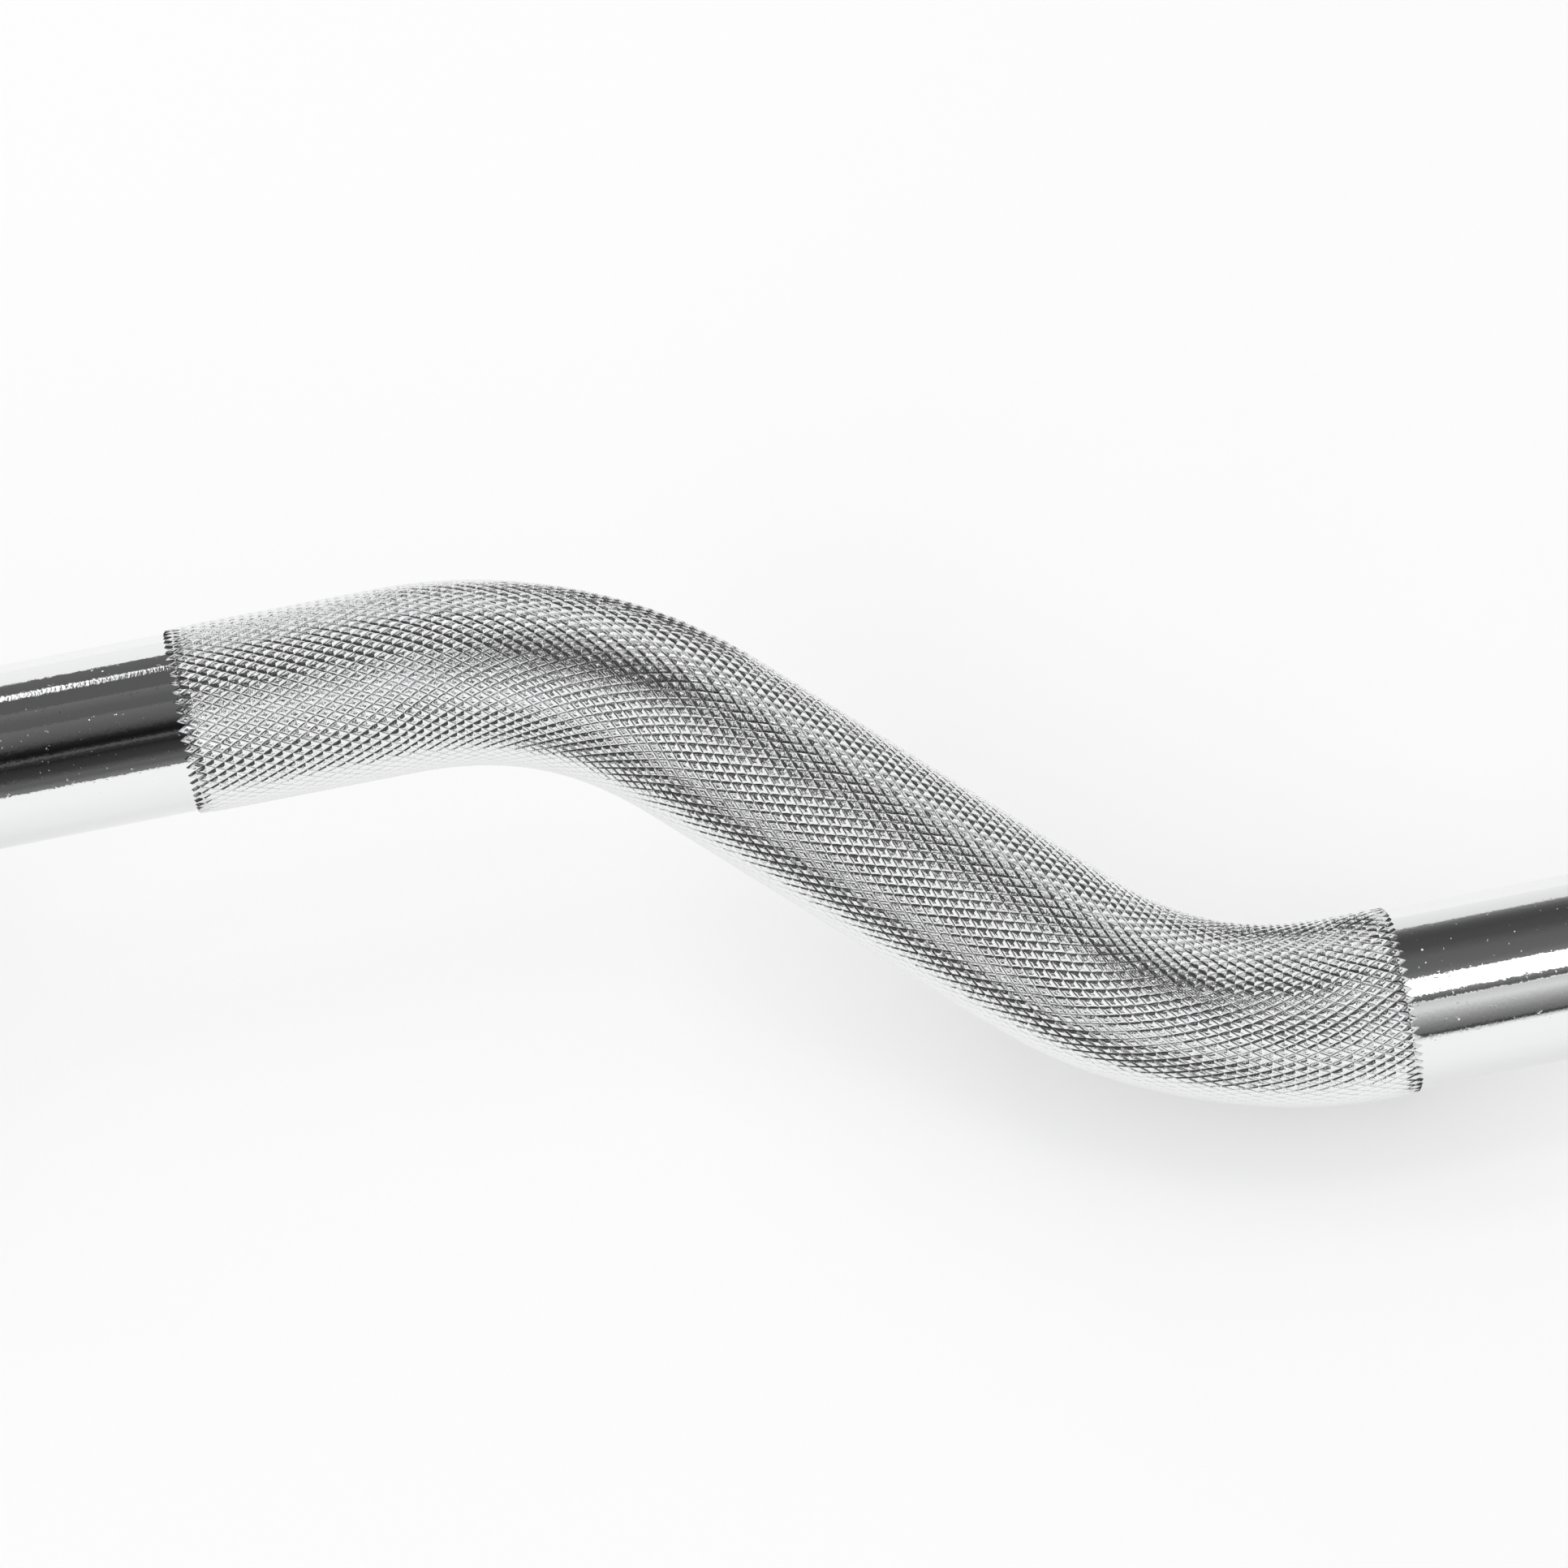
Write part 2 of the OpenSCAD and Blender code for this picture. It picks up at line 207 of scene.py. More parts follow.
def to_world(s, angle, radius, side):
    """Points at distance s along the bar, at that angle round it and radius from its line."""
    place, heading = PATH.at(s)
    up = radius * np.cos(angle)
    up = up * (1 - PATH.loss(s, up > 0) / GRIP_R)
    across = radius * np.sin(angle)
    u = place[..., 0] - up * np.sin(heading)
    v = place[..., 1] + up * np.cos(heading)
    return np.stack(
        [
            side * u,
            AXIS_Y + v * math.cos(DIP) - across * math.sin(DIP),
            AXIS_Z + v * math.sin(DIP) + across * math.cos(DIP),
        ],
        -1,
    )


def put_in_scene(thing):
    bpy.context.scene.collection.objects.link(thing)
    return thing


def new_mesh(name, points, faces):
    """A mesh object of these points and faces. Faces are lists of point numbers."""
    mesh = bpy.data.meshes.new(name)
    mesh.from_pydata([tuple(p) for p in points], [], faces)
    mesh.validate()
    return put_in_scene(bpy.data.objects.new(name, mesh))


def add_attribute(thing, name, values):
    """One number for each of the mesh's points, which its material can read."""
    attribute = thing.data.attributes.new(name, "FLOAT", "POINT")
    attribute.data.foreach_set("value", values)


def join_frame(piece, body):
    """The piece rides on a body."""
    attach(piece, body)


def ring_faces(first, second, count):
    """Quads between two rings of points that start at these numbers."""
    faces = []
    for i in range(count):
        j = (i + 1) % count
        faces.append((first + i, second + i, second + j, first + j))
    return faces


def shaft_profile():
    """Distances along the half shaft with the radius there, closely spaced in the bends."""
    end = PATH.length
    groove_start = end - (SHAFT_END - GROOVE_START)
    groove_end = end - (SHAFT_END - GROOVE_END)
    stations = [(0.0, SHAFT_R)]
    for start, length, _ in PATH.bends:
        run = length + 2 * LOSS_RUN_OUT
        count = int(run / BEND_STEP)
        for i in range(count + 1):
            stations.append((start - LOSS_RUN_OUT + run * i / count, SHAFT_R))
    stations += [
        (groove_start, SHAFT_R),
        (groove_start, GROOVE_R),
        (groove_end, GROOVE_R),
        (groove_end, SHAFT_R),
        (end - END_BEVEL, SHAFT_R),
        (end, SHAFT_R - END_BEVEL),
    ]
    return stations


def add_bar():
    """The whole smooth shaft, as one closed mesh. The grips' knurling lies on it."""
    half = shaft_profile()
    stations = [(s, r, -1) for s, r in reversed(half[1:])] + [(s, r, 1) for s, r in half]
    angles = np.arange(BAR_SIDES) * 2 * math.pi / BAR_SIDES
    rings = [
        to_world(np.full(BAR_SIDES, s), angles, np.full(BAR_SIDES, radius), side)
        for s, radius, side in stations
    ]
    faces = []
    for i in range(len(rings) - 1):
        faces += ring_faces(i * BAR_SIDES, (i + 1) * BAR_SIDES, BAR_SIDES)
    last = (len(rings) - 1) * BAR_SIDES
    faces.append(tuple(range(BAR_SIDES)))
    faces.append(tuple(reversed(range(last, last + BAR_SIDES))))
    bar = new_mesh("bar", np.concatenate(rings), faces)
    bar.data.shade_smooth()
    bar.data.set_sharp_from_angle(angle=SHARP_ANGLE)
    join_frame(bar, "shaft_assembly")
    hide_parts("shaft")
    return bar


def knurl_sets(start, end, rows, rng):
    """A grip's points in its sets, each with distances along the bar, angles round it and radii."""
    step = (end - start) / rows
    pitch = 2 * math.pi / STARTS
    column = np.arange(STARTS)

    row = np.arange(rows + 1)[:, None]
    corner_s = np.broadcast_to(start + row * step, (rows + 1, STARTS))
    corner_angle = (column + 0.5 * ((row + 1) % 2)) * pitch
    corner_radius = np.full(corner_s.shape, GROOVE_FLOOR_R)
    corner_radius[[0, -1]] = SUNK_R
    corner_radius[[1, -2]] = (SUNK_R + GROOVE_FLOOR_R) / 2
    sets = [(corner_s, corner_angle, corner_radius)]

    row = np.arange(1, rows)[:, None]
    cell_s = np.broadcast_to(start + row * step, (rows - 1, STARTS))
    cell_angle = np.broadcast_to((column + 0.5 * (row % 2)) * pitch, cell_s.shape)

    def chance():
        return rng.standard_normal(cell_s.shape)

    wander = KNURL_WANDER * chance()
    formed = np.ones((rows - 1, 1))
    for from_end, share in enumerate(FORMED_AT_END):
        formed[[from_end, -1 - from_end]] = share
    tip = GROOVE_FLOOR_R + formed * (TIP_R - np.abs(wander) - GROOVE_FLOOR_R)
    shoulder = GROOVE_FLOOR_R + SHOULDER_RISE * (tip - GROOVE_FLOOR_R)
    for size, base, jitter in ((SHOULDER, shoulder, SHOULDER_JITTER), (RIM, tip, RIM_JITTER)):
        for ds, da in AROUND_CELL:
            s = cell_s + size * (ds + jitter * chance()) * step
            angle = cell_angle + size * (da + 0.5 * jitter * chance()) * pitch
            sets.append((s, angle, np.minimum(base + KNURL_LIFT * chance(), TIP_R)))
    depth = LEAST_DENT + (1 - LEAST_DENT) * rng.random(cell_s.shape)
    shift = DENT_JITTER * rng.standard_normal((2,) + cell_s.shape)
    dent_s = cell_s + shift[0] * step * RIM
    sets.append((dent_s, cell_angle + shift[1] * pitch * RIM, tip - DENT * depth))

    lining_rows = rows // ROWS_PER_LINING_ROW
    lining_s = np.linspace(start + step / 2, end - step / 2, lining_rows)[:, None]
    lining_s = np.broadcast_to(lining_s, (lining_rows, STARTS))
    lining_angle = np.broadcast_to(column * pitch, lining_s.shape)
    sets.append((lining_s, lining_angle, np.full(lining_s.shape, LINING_R)))
    return sets


def cell_faces(rows, firsts):
    """The knurling's skin: in each cell from its corners up to its shoulder, rim and dent."""
    faces = []
    for n in range(1, rows):
        odd = n % 2
        for m in range(STARTS):
            low = m if odd else (m - 1) % STARTS
            high = (m + 1) % STARTS if odd else m
            cell = (n - 1) * STARTS + m
            corners = [cell, n * STARTS + low, (n + 1) * STARTS + m, n * STARTS + high]
            shoulder = [firsts[SHOULDER_SET + k] + cell for k in range(4)]
            rim = [firsts[RIM_SET + k] + cell for k in range(4)]
            for k in range(4):
                j = (k + 1) % 4
                faces.append((corners[k], corners[j], shoulder[j], shoulder[k]))
                faces.append((shoulder[k], shoulder[j], rim[j], rim[k]))
                faces.append((rim[k], rim[j], firsts[DENT_SET] + cell))
    return faces


def lining_faces(rows, lining):
    """The lining, whose points start at this number, and the skin's zigzag ends down to it."""
    faces = []
    lining_rows = rows // ROWS_PER_LINING_ROW
    for i in range(lining_rows - 1):
        ring = ring_faces(lining + i * STARTS, lining + (i + 1) * STARTS, STARTS)
        faces += [tuple(reversed(face)) for face in ring]
    end = rows * STARTS
    before = (rows - 1) * STARTS
    last = lining + (lining_rows - 1) * STARTS
    for m in range(STARTS):
        j = (m + 1) % STARTS
        # The corners of row 0 sit half a step past the columns of row 1
        faces.append((m, STARTS + m, lining + m))
        faces.append((m, lining + m, lining + j))
        faces.append((STARTS + j, m, lining + j))
    for m in range(STARTS):
        j = (m + 1) % STARTS
        if rows % 2 == 0:
            faces.append((end + m, last + m, before + m))
            faces.append((end + m, last + j, last + m))
            faces.append((before + j, last + j, end + m))
        else:
            faces.append((end + m, last + m, before + (m - 1) % STARTS))
            faces.append((before + m, last + m, end + m))
            faces.append((before + m, last + j, last + m))
    return faces


def add_grip(name, start, end, side, seed):
    """A knurled grip: a closed skin of small pyramids, each pressed up to a rim round its dent."""
    rows = round((end - start) / ROW)
    sets = knurl_sets(start, end, rows, np.random.default_rng(seed))
    firsts = np.cumsum([0] + [s.size for s, _, _ in sets]).tolist()
    faces = cell_faces(rows, firsts) + lining_faces(rows, firsts[LINING_SET])
    if side > 0:
        faces = [tuple(reversed(face)) for face in faces]
    points = [to_world(s, angle, radius, side).reshape(-1, 3) for s, angle, radius in sets]
    grip = new_mesh(name, np.concatenate(points), faces)
    join_frame(grip, "shaft_assembly")
    radii = np.concatenate([radius.reshape(-1) for _, _, radius in sets])
    height = (radii - GROOVE_FLOOR_R) / (TIP_R - GROOVE_FLOOR_R)
    add_attribute(grip, "height", np.clip(height, 0, 1).astype(np.float32))
    return grip


def add_grips():
    """The four grips. Each runs from before one bend to past the next, over the slant between."""
    bend_ends = (PATH.marks[i] for i in (1, 4, 5, 8))
    centre_start, valley_end, valley_start, outer_end = bend_ends
    inner = (
        centre_start - (PAST_CENTRE - PATH.ridge_tangent),
        valley_end + PAST_VALLEY - PATH.valley_tangent,
    )
    outer = (
        valley_start - (PAST_VALLEY - PATH.valley_tangent),
        outer_end + PAST_OUTER - PATH.ridge_tangent,
    )
    grips = []
    for side, hand in ((-1, "left"), (1, "right")):
        grips.append(add_grip(f"{hand}_inner_grip", *inner, side, INNER_SEED + side))
        grips.append(add_grip(f"{hand}_outer_grip", *outer, side, OUTER_SEED + side))
    return grips


class Tree:
    """The node tree of a material or a world, with short calls for its nodes and links."""

    def __init__(self, owner, output):
        owner.use_nodes = True
        self.owner = owner
        self.tree = owner.node_tree
        self.tree.nodes.clear()
        self.output = self.node(output)

    def link(self, source, target):
        self.tree.links.new(source, target)

    def node(self, kind, inputs=(), **settings):
        made = self.tree.nodes.new("ShaderNode" + kind)
        for key, value in settings.items():
            setattr(made, key, value)
        for key, value in dict(inputs).items():
            if isinstance(value, bpy.types.NodeSocket):
                self.link(value, made.inputs[key])
            else:
                made.inputs[key].default_value = value
        return made

    def mix_shader(self, share, first, second):
        return self.node("MixShader", {0: share, 1: first, 2: second}).outputs["Shader"]

    def finish(self, surface):
        self.link(surface, self.output.inputs["Surface"])
        return self.owner


class Shader(Tree):
    """A material's node tree. Its patterns lie on the piece's own coordinates."""

    def __init__(self, name):
        super().__init__(bpy.data.materials.new(name), "OutputMaterial")
        self.coordinates = self.node("TexCoord").outputs["Object"]

    def scaled(self, scale):
        mapping = self.node("Mapping", {"Vector": self.coordinates, "Scale": scale})
        return mapping.outputs["Vector"]

    def noise(self, scale, detail=3.0, roughness=0.5, stretch=(1, 1, 1)):
        """Noise with this many features per metre, along each axis times its stretch."""
        inputs = {
            "Vector": self.scaled([scale * k for k in stretch]),
            "Scale": 1.0,
            "Detail": detail,
            "Roughness": roughness,
        }
        return self.node("TexNoise", inputs).outputs["Fac"]

    def map(self, value, span, to):
        """The value with its span, from low to high, laid on another and clamped there."""
        inputs = {
            "Value": value,
            "From Min": span[0],
            "From Max": span[1],
            "To Min": to[0],
            "To Max": to[1],
        }
        return self.node("MapRange", inputs, clamp=True).outputs["Result"]

    def math(self, operation, first, second):
        return self.node("Math", {0: first, 1: second}, operation=operation).outputs["Value"]

    def bump(self, height, depth, below=None):
        """The normal of a relief of this depth in metres, on the normal of the relief below it."""
        inputs = {"Height": height, "Distance": depth, "Strength": 1.0}
        if below is not None:
            inputs["Normal"] = below
        return self.node("Bump", inputs).outputs["Normal"]

    def mix_colour(self, share, first, second):
        # Inputs 0, 6 and 7 and output 2 are the Mix node's sockets for colours
        return self.node("Mix", {0: share, 6: first, 7: second}, data_type="RGBA").outputs[2]

    def principled(self, **inputs):
        named = {key.replace("_", " ").title(): value for key, value in inputs.items()}
        return self.node("BsdfPrincipled", named).outputs["BSDF"]

    def emission(self, colour, strength):
        return self.node("Emission", {"Color": colour, "Strength": strength}).outputs["Emission"]

    def specks(self, per_metre, size, share):
        """A mask of round specks, of this size in cells, in a share of the cells."""
        vector = self.scaled((per_metre,) * 3)
        cells = self.node("TexVoronoi", {"Vector": vector, "Scale": 1.0}, feature="F1")
        near = self.math("LESS_THAN", cells.outputs["Distance"], size)
        drawn = self.node("SeparateColor", {"Color": cells.outputs["Color"]}).outputs["Red"]
        return self.math("MULTIPLY", near, self.math("LESS_THAN", drawn, share))


CHROME_TINT = (0.90, 0.903, 0.91, 1)
# Painted shade: the darker tint laid into the knurling's grooves
PAINTED_SHADE_TINT = (0.40, 0.40, 0.41, 1)
DUST_TINT = (0.80, 0.79, 0.77, 1)


def dusted(s, chrome, amount):
    """The chrome with fine dust on it: more of it where the bar is hazy."""
    haze = s.map(s.noise(70, detail=2), (0.4, 0.7), (0.0, 1.0))
    small = s.specks(2200, size=0.16, share=0.05 * amount)
    large = s.specks(700, size=0.11, share=0.035 * amount)
    mask = s.math("MAXIMUM", s.math("MULTIPLY", small, haze), large)
    dust = s.node("BsdfDiffuse", {"Color": DUST_TINT}).outputs["BSDF"]
    return s.mix_shader(mask, chrome, dust)


def polished_chrome():
    """Mirror chrome over a ground bar: fine marks comb the edges of what it mirrors."""
    s = Shader("polished_chrome")
    marks = s.noise(2400, detail=2, roughness=0.6, stretch=(1.0, 0.5, 0.5))
    nicks = s.map(s.noise(1500, detail=1), (0.70, 0.84), (0.0, 1.0))
    ripple = s.noise(260, detail=2)
    haze = s.noise(55, roughness=0.55)
    worn = s.map(s.noise(9, detail=2), (0.45, 0.65), (0.3, 1.0))
    normal = s.bump(ripple, depth=0.004 * MM)
    normal = s.bump(s.math("MULTIPLY", marks, worn), depth=0.032 * MM, below=normal)
    normal = s.bump(nicks, depth=0.012 * MM, below=normal)
    chrome = s.principled(
        base_color=CHROME_TINT,
        metallic=1.0,
        roughness=s.map(haze, (0.35, 0.75), (0.02, 0.07)),
        normal=normal,
    )
    return s.finish(dusted(s, chrome, amount=1.0))


def turned_chrome(name, lines_per_metre, line_depth):
    """Chrome over a turned surface: fine lines round the axis of the bar."""
    s = Shader(name)
    lines = s.noise(lines_per_metre, detail=2, roughness=0.6, stretch=(1.0, 0.01, 0.01))
    haze = s.noise(45, roughness=0.55)
    chrome = s.principled(
        base_color=CHROME_TINT,
        metallic=1.0,
        roughness=s.map(haze, (0.35, 0.75), (0.05, 0.13)),
        normal=s.bump(lines, line_depth),
    )
    return s.finish(dusted(s, chrome, amount=0.6))


def knurled_chrome():
    """Chrome on the knurling: a little rougher in the grooves, which painted shade darkens in uneven
    patches.
    """
    s = Shader("knurled_chrome")
    height = s.node("Attribute", attribute_name="height").outputs["Fac"]
    pressed = s.noise(5200, roughness=0.6)
    torn = s.noise(1700, detail=2)
    # Painted shade: the base colour darkens towards the groove floors, in uneven patches
    low = s.map(height, (0.0, 0.45), (1.0, 0.0))
    painted_shade = s.math("MULTIPLY", low, s.map(torn, (0.3, 0.7), (0.35, 1.0)))
    haze = s.map(s.noise(900, detail=2), (0.3, 0.7), (0.02, 0.05))
    roughness = s.math("ADD", haze, s.map(height, (0.0, 0.3), (0.06, 0.0)))
    uneven = s.math("SUBTRACT", s.noise(2600, detail=2, roughness=0.6), 0.5)
    squeezed = s.math("MULTIPLY", uneven, s.map(height, (0.5, 0.85), (0.15, 1.0)))
    normal = s.bump(torn, depth=0.028 * MM)
    normal = s.bump(squeezed, depth=0.06 * MM, below=normal)
    normal = s.bump(pressed, depth=0.009 * MM, below=normal)
    chrome = s.principled(
        base_color=s.mix_colour(painted_shade, CHROME_TINT, PAINTED_SHADE_TINT),
        metallic=1.0,
        roughness=roughness,
        normal=normal,
    )
    return s.finish(chrome)


def nylon():
    """Turned nylon: faint lines round the axis of the bar, and a mottle in its black."""
    s = Shader("nylon")
    lines = s.noise(3000, detail=2, stretch=(1.0, 0.02, 0.02))
    mottle = s.noise(400)
    surface = s.principled(
        base_color=s.mix_colour(mottle, (0.035, 0.035, 0.038, 1), (0.07, 0.07, 0.074, 1)),
        roughness=s.map(mottle, (0.3, 0.7), (0.38, 0.55)),
        normal=s.bump(lines, depth=0.01 * MM),
    )
    return s.finish(surface)


def rubber():
    s = Shader("seal_rubber")
    fine = s.noise(4000)
    mottle = s.noise(300, detail=2)
    surface = s.principled(
        base_color=s.mix_colour(mottle, (0.018, 0.018, 0.018, 1), (0.04, 0.039, 0.038, 1)),
        roughness=s.map(fine, (0.3, 0.7), (0.55, 0.75)),
        normal=s.bump(fine, depth=0.008 * MM),
    )
    return s.finish(surface)


def bronze():
    """Sintered bronze: tiny open pores and a film of oil."""
    s = Shader("sintered_bronze")
    pores = s.specks(5200, size=0.3, share=0.45)
    tone = s.noise(500, detail=4)
    tint = s.mix_colour(tone, (0.50, 0.31, 0.13, 1), (0.70, 0.48, 0.24, 1))
    tint = s.mix_colour(s.map(pores, (0, 1), (0, 0.7)), tint, (0.12, 0.07, 0.03, 1))
    surface = s.principled(
        base_color=tint,
        metallic=1.0,
        roughness=s.map(tone, (0.3, 0.7), (0.28, 0.45)),
        normal=s.bump(s.math("SUBTRACT", 1.0, pores), depth=0.02 * MM),
    )
    return s.finish(surface)


def ground_steel():
    """Steel ground flat, with fine scratches."""
    s = Shader("ground_steel")
    lines = s.noise(4200, roughness=0.6, stretch=(1.0, 1.0, 0.04))
    tone = s.noise(250)
    surface = s.principled(
        base_color=s.mix_colour(tone, (0.50, 0.51, 0.53, 1), (0.62, 0.63, 0.65, 1)),
        metallic=1.0,
        roughness=s.map(lines, (0.3, 0.7), (0.24, 0.42)),
        normal=s.bump(lines, depth=0.008 * MM),
    )
    return s.finish(surface)


def phosphated_steel():
    """Spring steel with a black phosphate coat, rubbed bright in places."""
    s = Shader("phosphated_steel")
    grain = s.noise(2800, detail=4, roughness=0.6)
    wear = s.map(s.noise(350, detail=4, roughness=0.6), (0.60, 0.72), (0.0, 0.6))
    tint = s.mix_colour(grain, (0.03, 0.03, 0.032, 1), (0.075, 0.075, 0.078, 1))
    tint = s.mix_colour(wear, tint, (0.30, 0.30, 0.31, 1))
    surface = s.principled(
        base_color=tint,
        metallic=0.7,
        roughness=s.map(grain, (0.3, 0.7), (0.38, 0.6)),
        normal=s.bump(grain, depth=0.012 * MM),
    )
    return s.finish(surface)


def dress(piece, material):
    piece.data.materials.clear()
    piece.data.materials.append(material)


def dress_all(bar, grips):
    """Every visible piece of the bar gets its material."""
    dress(bar, polished_chrome())
    knurled = knurled_chrome()
    for grip in grips:
        dress(grip, knurled)
    collar_chrome = turned_chrome("collar_chrome", lines_per_metre=1300, line_depth=0.010 * MM)
    bushing_bronze = bronze()
    ring_steel = phosphated_steel()
    finishes = {
        "stop_ring": collar_chrome,
        "inner_thrust_washer": nylon(),
        "collar": collar_chrome,
        "dust_seal": rubber(),
        "sleeve": turned_chrome("sleeve_chrome", lines_per_metre=1800, line_depth=0.006 * MM),
        "inner_bushing": bushing_bronze,
        "outer_bushing": bushing_bronze,
        "outer_thrust_washer": ground_steel(),
        "shaft_snap_ring": ring_steel,
        "end_cap": collar_chrome,
        "cap_snap_ring": ring_steel,
    }
    for hand in ("left", "right"):
        for piece, material in finishes.items():
            dress(NODES[f"{hand}_{piece}"], material)


# The photo's camera, fitted to the outline of the bar
CAMERA_PLACE = Vector((-0.31941881, -0.48677329, 0.69879976))
CAMERA_RIGHT = Vector((0.98022022, -0.18478041, -0.0708839))
CAMERA_UP = Vector((0.19100447, 0.78947376, 0.58330821))
CAMERA_AHEAD = Vector((0.05182295, 0.58530964, -0.80915203))
CAMERA_LENS = 137.07
CAMERA_SENSOR = 36
CAMERA_CLIP = (0.01, 100)

# The floor and the light of the room, where 1 is white
WHITE = (1, 1, 1, 1)
SHOWN_WHITE = (0.985, 0.985, 0.985, 1)
ROOM_LEVEL = 0.94
FLOOR_HALF = 12.0

# Share of even white in the floor. To the camera it falls over the near reach of distances from
# the middle of the bar, where the valleys cast their shadows, and rises over the far one. In the
# metal it's the same everywhere
EVEN_NEAR_REACH = (0.175, 0.205)
EVEN_NEAR = (0.65, 0.4)
EVEN_FAR_REACH = (0.254, 0.300)
EVEN_FAR = (0.4, 0.8)
EVEN_IN_METAL = 0.5

# Where the light panels and the studio cards are measured from, how far off they are, and the
# degrees between a card's points
MIDDLE = Vector((-0.27, 0.0, 0.03))
PANEL_DISTANCE = 1.5
CARD_REACH = 6.0
LAID_ON_REACH = 5.9
CARD_STEP = 5.0

# Studio cards. Each has how far it reaches to the left and right, in degrees from straight across
# the bar, and pairs of an angle up from the front of the floor and the brightness there, shading
# from one to the next. The cards of the two strips run from the floor in front over the camera to
# the back, and the plain parts of the bar mirror them. The slopes of the knurling mirror those to
# the sides, where soft boxes and dark flags take turns
LEFT_STRIP = (-10, 3)
RIGHT_STRIP = (3, 16)
BOX = 1.0
FLAG = 0.07
CARDS = {
    "back_left": (LEFT_STRIP, [(184, 0.96), (152.5, 0.93)]),
    "back_right": (RIGHT_STRIP, [(184, 0.92), (157, 0.80), (154.5, 0.66)]),
    "strip_left": (LEFT_STRIP, [
        (152.5, 0.13), (125, 0.105), (106, 0.105), (104, 0.16), (101, 0.14), (92, 0.11),
        (83, 0.105), (80, 0.145), (75, 0.13), (66, 0.105), (62, 0.086), (57, 0.046), (54, 0.018),
        (49, 0.0085), (46, 0.011), (44, 0.028), (42, 0.09), (40.5, 0.085), (39, 0.04), (34, 0.018),
        (31, 0.03), (21, 0.047), (12.6, 0.118), (8, 0.117), (2.6, 0.188), (-1.5, 0.20),
    ]),
    "strip_right": (RIGHT_STRIP, [
        (154.4, 0.30), (151, 0.19), (146, 0.11), (140, 0.075), (133, 0.064), (118, 0.075),
        (104, 0.12), (88, 0.135), (83, 0.17), (79, 0.20), (56.5, 0.20), (54, 0.18), (51.3, 0.11),
        (48.8, 0.14),
    ]),
    "front_right": (RIGHT_STRIP, [
        (48, 0.60), (43, 0.67), (38.8, 0.72), (36, 0.66), (31, 0.51), (26, 0.39), (19, 0.26),
        (14, 0.195), (8.8, 0.14), (6.3, 0.045), (4.5, 0.10), (2.5, 0.6), (0, 0.86),
    ]),
    "white_band": (RIGHT_STRIP, [(79, 1.6), (57.3, 1.6)], LAID_ON_REACH),
    "white_line": ((-10, -4.2), [(133.5, 1.3), (125.5, 1.3)], LAID_ON_REACH),
    "white_line_end": ((-4.2, -3.4), [(133.5, 1.2), (130.5, 1.2)], LAID_ON_REACH),
    "left_near": ((-24, -10), [
        (184, BOX), (137, BOX), (135, FLAG), (82, FLAG), (80, BOX), (54, BOX), (52, FLAG),
        (26, FLAG), (24, BOX), (-30, BOX),
    ]),
    "left_box": ((-34, -24), [
        (184, BOX), (76, BOX), (73, FLAG), (13, FLAG), (10, BOX), (-30, BOX),
    ]),
    "left_flag": ((-60, -34), [
        (184, BOX), (113, BOX), (110, FLAG), (13, FLAG), (10, BOX), (-30, BOX),
    ]),
    "left_wall": ((-88, -60), [
        (184, BOX), (100, BOX), (90, FLAG), (40, FLAG), (35, BOX), (-30, BOX),
    ]),
    "right_near": ((16, 28), [(184, BOX), (-30, BOX)]),
    "right_flag": ((28, 50), [
        (184, BOX), (174, BOX), (171, FLAG), (110, FLAG), (106, BOX), (-30, BOX),
    ]),
    "right_wall": ((50, 88), [
        (184, BOX), (76, BOX), (70, FLAG), (5, FLAG), (0, BOX), (-30, BOX),
    ]),
}


def add_camera():
    data = bpy.data.cameras.new("camera")
    data.sensor_width = CAMERA_SENSOR
    data.lens = CAMERA_LENS
    data.clip_start, data.clip_end = CAMERA_CLIP
    camera = put_in_scene(bpy.data.objects.new("camera", data))
    turn = Matrix((CAMERA_RIGHT, CAMERA_UP, -CAMERA_AHEAD)).transposed()
    camera.matrix_world = Matrix.Translation(CAMERA_PLACE) @ turn.to_4x4()
    bpy.context.scene.camera = camera


def white_floor():
    """A matt white floor. The camera sees an even white over it, the least round the valleys."""
    s = Shader("white_floor")
    tint = s.mix_colour(s.noise(2.5, detail=2), (0.86, 0.86, 0.86, 1), (0.88, 0.88, 0.88, 1))
    normal = s.bump(s.noise(900), depth=0.02 * MM)
    matt = s.node("BsdfDiffuse", {"Color": tint, "Normal": normal}).outputs["BSDF"]
    even = s.emission(SHOWN_WHITE, 1.0)
    off = s.node("VectorMath", {0: s.coordinates}, operation="LENGTH").outputs["Value"]
    path = s.node("LightPath").outputs
    seen = s.math("MAXIMUM", path["Is Camera Ray"], path["Is Transmission Ray"])
    near = s.map(off, EVEN_NEAR_REACH, EVEN_NEAR)
    far = s.map(off, EVEN_FAR_REACH, EVEN_FAR)
    to_camera = s.math("MULTIPLY", seen, s.math("MAXIMUM", near, far))
    to_metal = s.math("MULTIPLY", path["Is Glossy Ray"], EVEN_IN_METAL)
    return s.finish(s.mix_shader(s.math("MAXIMUM", to_camera, to_metal), matt, even))


def add_floor():
    h = FLOOR_HALF
    corners = [(-h, -h, 0), (h, -h, 0), (h, h, 0), (-h, h, 0)]
    floor = new_mesh("floor", corners, [(0, 1, 2, 3)])
    dress(floor, white_floor())


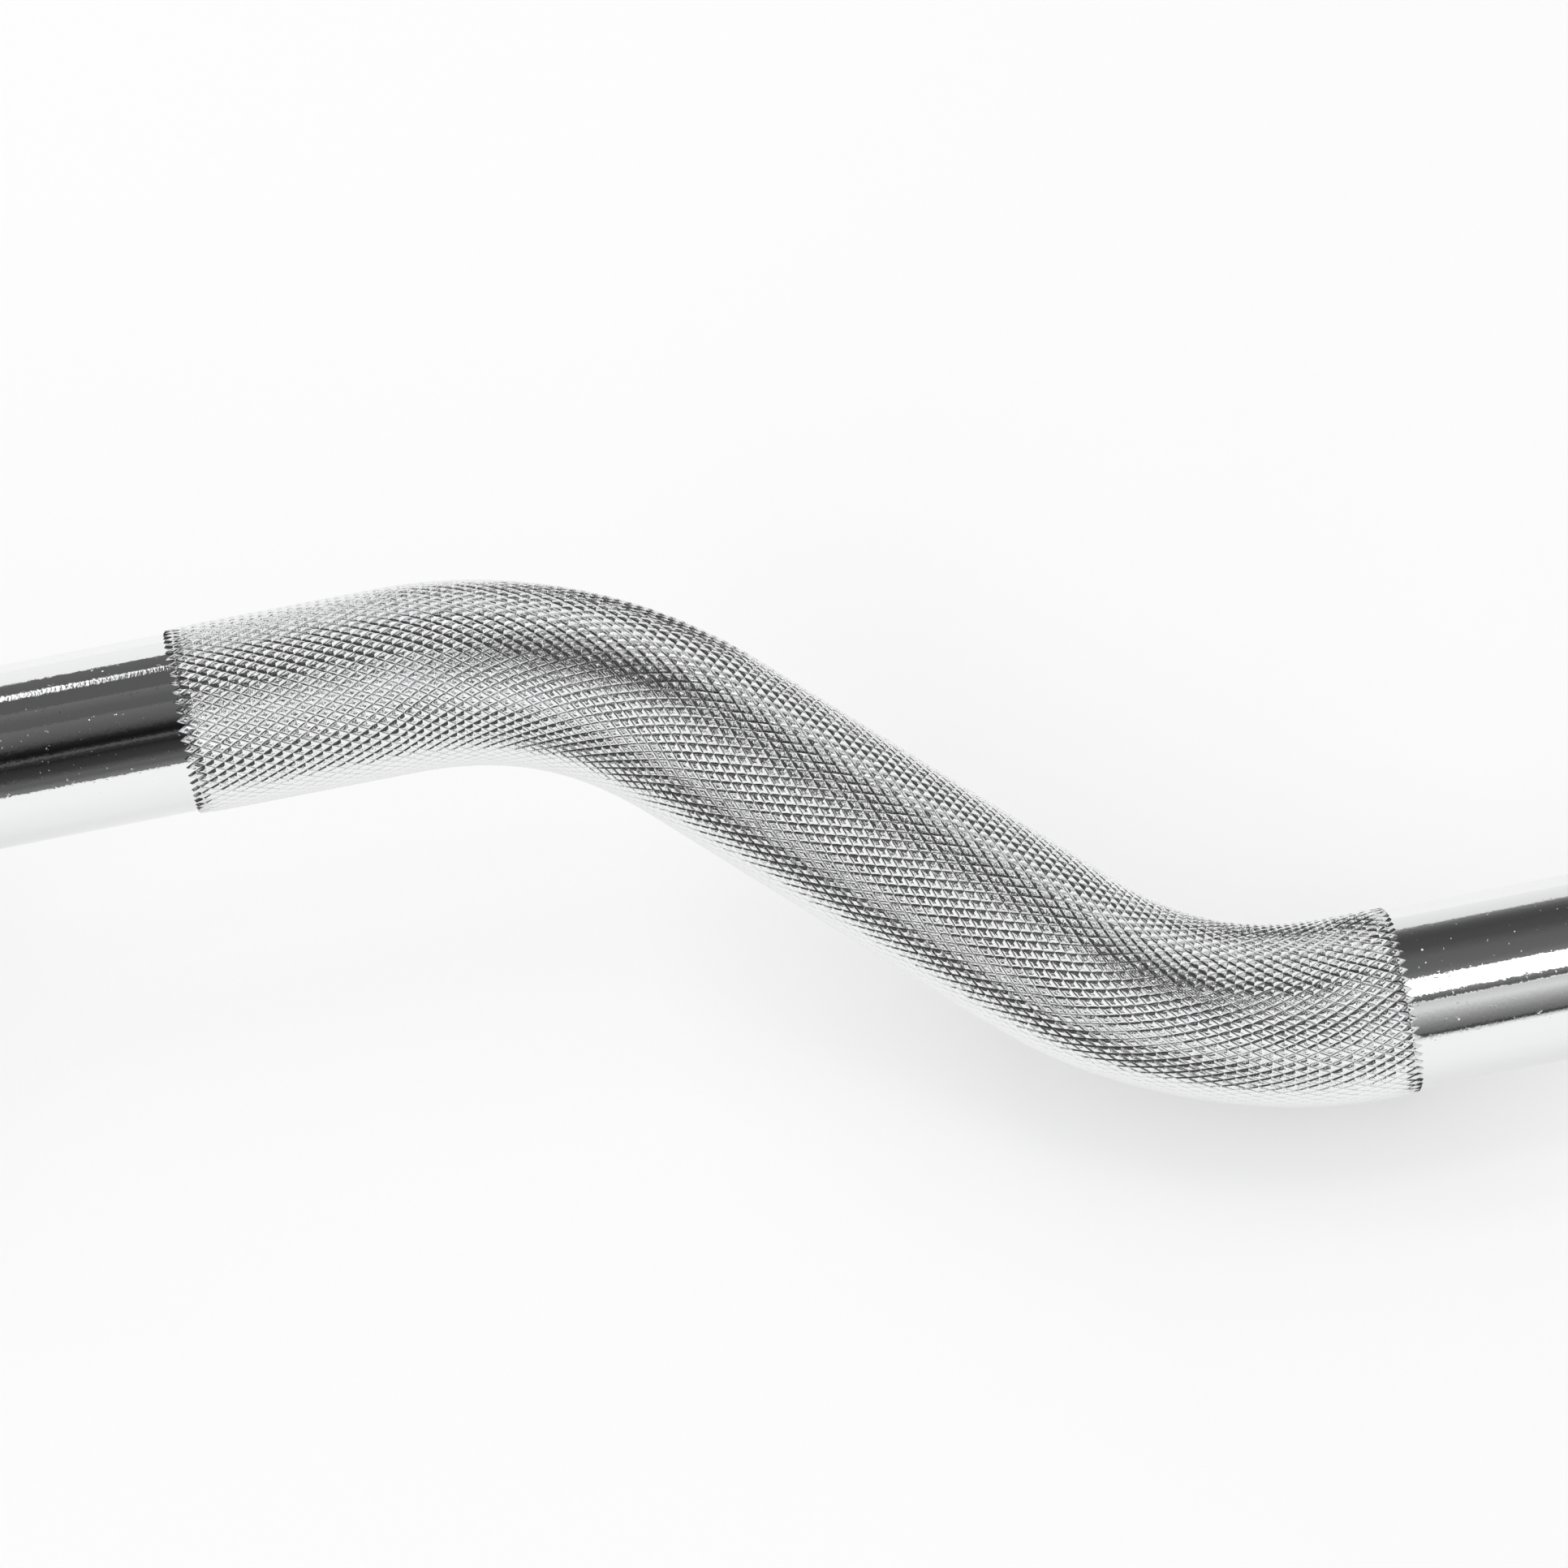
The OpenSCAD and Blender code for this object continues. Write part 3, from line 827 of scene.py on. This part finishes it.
def add_world():
    """White to the camera, and an even soft light to everything else."""
    world = bpy.data.worlds.new("studio")
    bpy.context.scene.world = world
    tree = Tree(world, "OutputWorld")
    room = tree.node("Background", {"Color": WHITE, "Strength": ROOM_LEVEL})
    shown = tree.node("Background", {"Color": SHOWN_WHITE, "Strength": 1.0})
    to_camera = tree.node("LightPath").outputs["Is Camera Ray"]
    tree.finish(tree.mix_shader(to_camera, room.outputs[0], shown.outputs[0]))


def filled(values, step):
    """The same run of numbers with more between them, none further than step from the next."""
    run = [values[0]]
    for low, high in zip(values, values[1:]):
        count = max(1, math.ceil(abs(high - low) / step))
        run += [low + (high - low) * (i + 1) / count for i in range(count)]
    return run


def add_card(name, turn, levels, reach=CARD_REACH):
    """A curved studio card that only the metal sees, as a patch of a ball round the bar."""
    rows = sorted(set(filled([height for height, _ in levels], CARD_STEP)), reverse=True)
    shades = np.interp(rows, *zip(*sorted(levels)))
    columns = filled(turn, CARD_STEP)
    points = []
    for row in rows:
        h = math.radians(row)
        for column in columns:
            t = math.radians(column)
            across = math.cos(t)
            ahead = Vector((math.sin(t), -across * math.cos(h), across * math.sin(h)))
            points.append(MIDDLE + reach * ahead)
    count = len(columns)
    faces = [
        (i * count + j, i * count + j + 1, (i + 1) * count + j + 1, (i + 1) * count + j)
        for i in range(len(rows) - 1)
        for j in range(count - 1)
    ]
    card = new_mesh(name, points, faces)
    add_attribute(card, "level", [shade for shade in shades for _ in columns])
    s = Shader(name)
    level = s.node("Attribute", attribute_name="level").outputs["Fac"]
    dress(card, s.finish(s.emission(WHITE, level)))
    card.visible_camera = False
    card.visible_diffuse = False
    card.visible_shadow = False


def add_panel(name, elevation, x, width, height, level):
    """A soft light panel that faces the bar and isn't mirrored. Its level is its brightness."""
    data = bpy.data.lights.new(name, "AREA")
    data.shape = "RECTANGLE"
    data.size = width
    data.size_y = height
    data.energy = level * math.pi * width * height
    panel = put_in_scene(bpy.data.objects.new(name, data))
    a = math.radians(elevation)
    place = (x, -PANEL_DISTANCE * math.cos(a), MIDDLE.z + PANEL_DISTANCE * math.sin(a))
    right = Vector((1, 0, 0))
    back = Vector((0, -math.cos(a), math.sin(a)))
    turn = Matrix((right, back.cross(right), back)).transposed()
    panel.matrix_world = Matrix.Translation(place) @ turn.to_4x4()
    panel.visible_camera = False
    panel.visible_glossy = False


def add_studio():
    add_camera()
    add_floor()
    add_world()
    for name, card in CARDS.items():
        add_card(name, *card)
    add_panel("front_left_panel", elevation=40, x=-1.0, width=1.2, height=0.6, level=1.35)
    add_panel("high_panel", elevation=112, x=-0.5, width=0.5, height=0.3, level=4.0)
    add_panel("back_left_panel", elevation=130.5, x=-1.15, width=1.4, height=0.20, level=3.5)
    bpy.context.scene.view_settings.view_transform = "Standard"


dress_all(add_bar(), add_grips())
add_studio()
